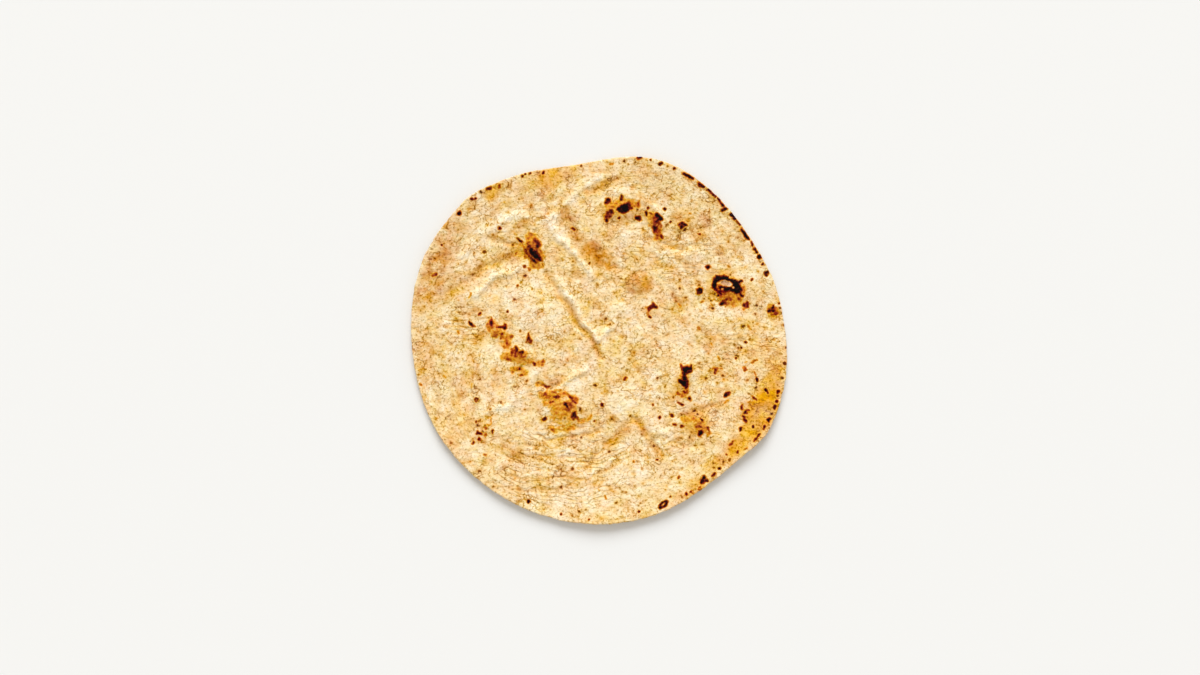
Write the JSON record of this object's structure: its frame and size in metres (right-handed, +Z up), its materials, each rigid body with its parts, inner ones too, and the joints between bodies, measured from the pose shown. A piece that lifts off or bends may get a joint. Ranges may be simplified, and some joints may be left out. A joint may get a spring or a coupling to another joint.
{
  "type": "chapati flatbread",
  "caption": "Thin round unleavened flatbread, blistered and scorched in spots on its top, for eating or tearing by hand.",
  "frame": {"origin": "on the surface that the bread lies on, under the middle of its outline", "axes": "+Z up, out of the blistered face; +Y away from the eater, towards the bread's flattened edge; +X to the right, towards its largest burst blister"},
  "size_m": [0.2254, 0.2204, 0.0063],
  "materials": {
    "baked_dough": "matt baked wheat dough, cream to golden, with scorched spots"
  },
  "bodies": {
    "root": {"chapati": "baked_dough"}
  },
  "joints": []
}
